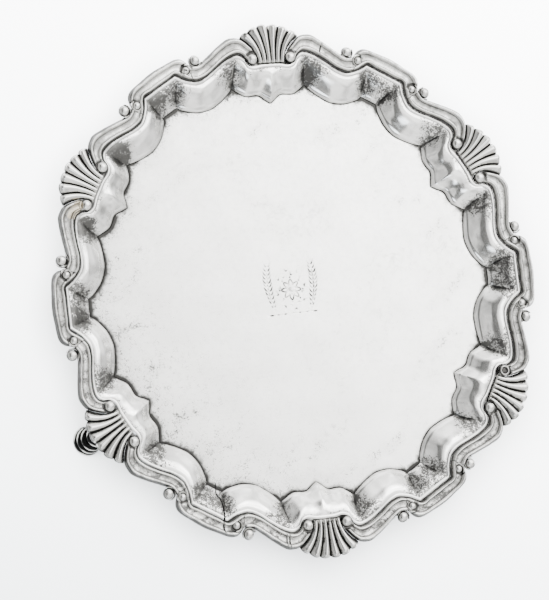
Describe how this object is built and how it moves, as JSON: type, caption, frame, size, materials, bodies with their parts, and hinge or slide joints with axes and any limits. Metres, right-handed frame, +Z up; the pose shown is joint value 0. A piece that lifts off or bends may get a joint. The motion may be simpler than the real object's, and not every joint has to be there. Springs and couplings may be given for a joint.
{
  "type": "silver salver",
  "caption": "Round footed tray with a raised shell-and-scroll border, a lobed bouge round a flat well, and short cast feet.",
  "frame": {"origin": "centre of the salver on the table plane that its three feet stand on", "axes": "+Z up out of the well, +Y towards the shell at twelve o'clock, which stands over one of the three feet"},
  "size_m": [0.245, 0.2534, 0.03],
  "materials": {
    "worn_silver": "polished silver sheet, worn, with fine scratches and small pits",
    "cast_silver": "cast and chased silver, soft from wear, dark in the hollows",
    "tarnished_silver": "cast silver, dark with tarnish"
  },
  "bodies": {
    "root": {"plate": "worn_silver", "shell_12": "cast_silver", "shell_2": "cast_silver", "shell_4": "cast_silver", "shell_6": "cast_silver", "shell_8": "cast_silver", "shell_10": "cast_silver", "scroll_12_left": "cast_silver", "scroll_12_right": "cast_silver", "scroll_2_left": "cast_silver", "scroll_2_right": "cast_silver", "scroll_4_left": "cast_silver", "scroll_4_right": "cast_silver", "scroll_6_left": "cast_silver", "scroll_6_right": "cast_silver", "scroll_8_left": "cast_silver", "scroll_8_right": "cast_silver", "scroll_10_left": "cast_silver", "scroll_10_right": "cast_silver", "arch_1": "cast_silver", "arch_3": "cast_silver", "arch_5": "cast_silver", "arch_7": "cast_silver", "arch_9": "cast_silver", "arch_11": "cast_silver", "foot_12": "tarnished_silver", "foot_4": "tarnished_silver", "foot_8": "tarnished_silver"}
  },
  "joints": []
}
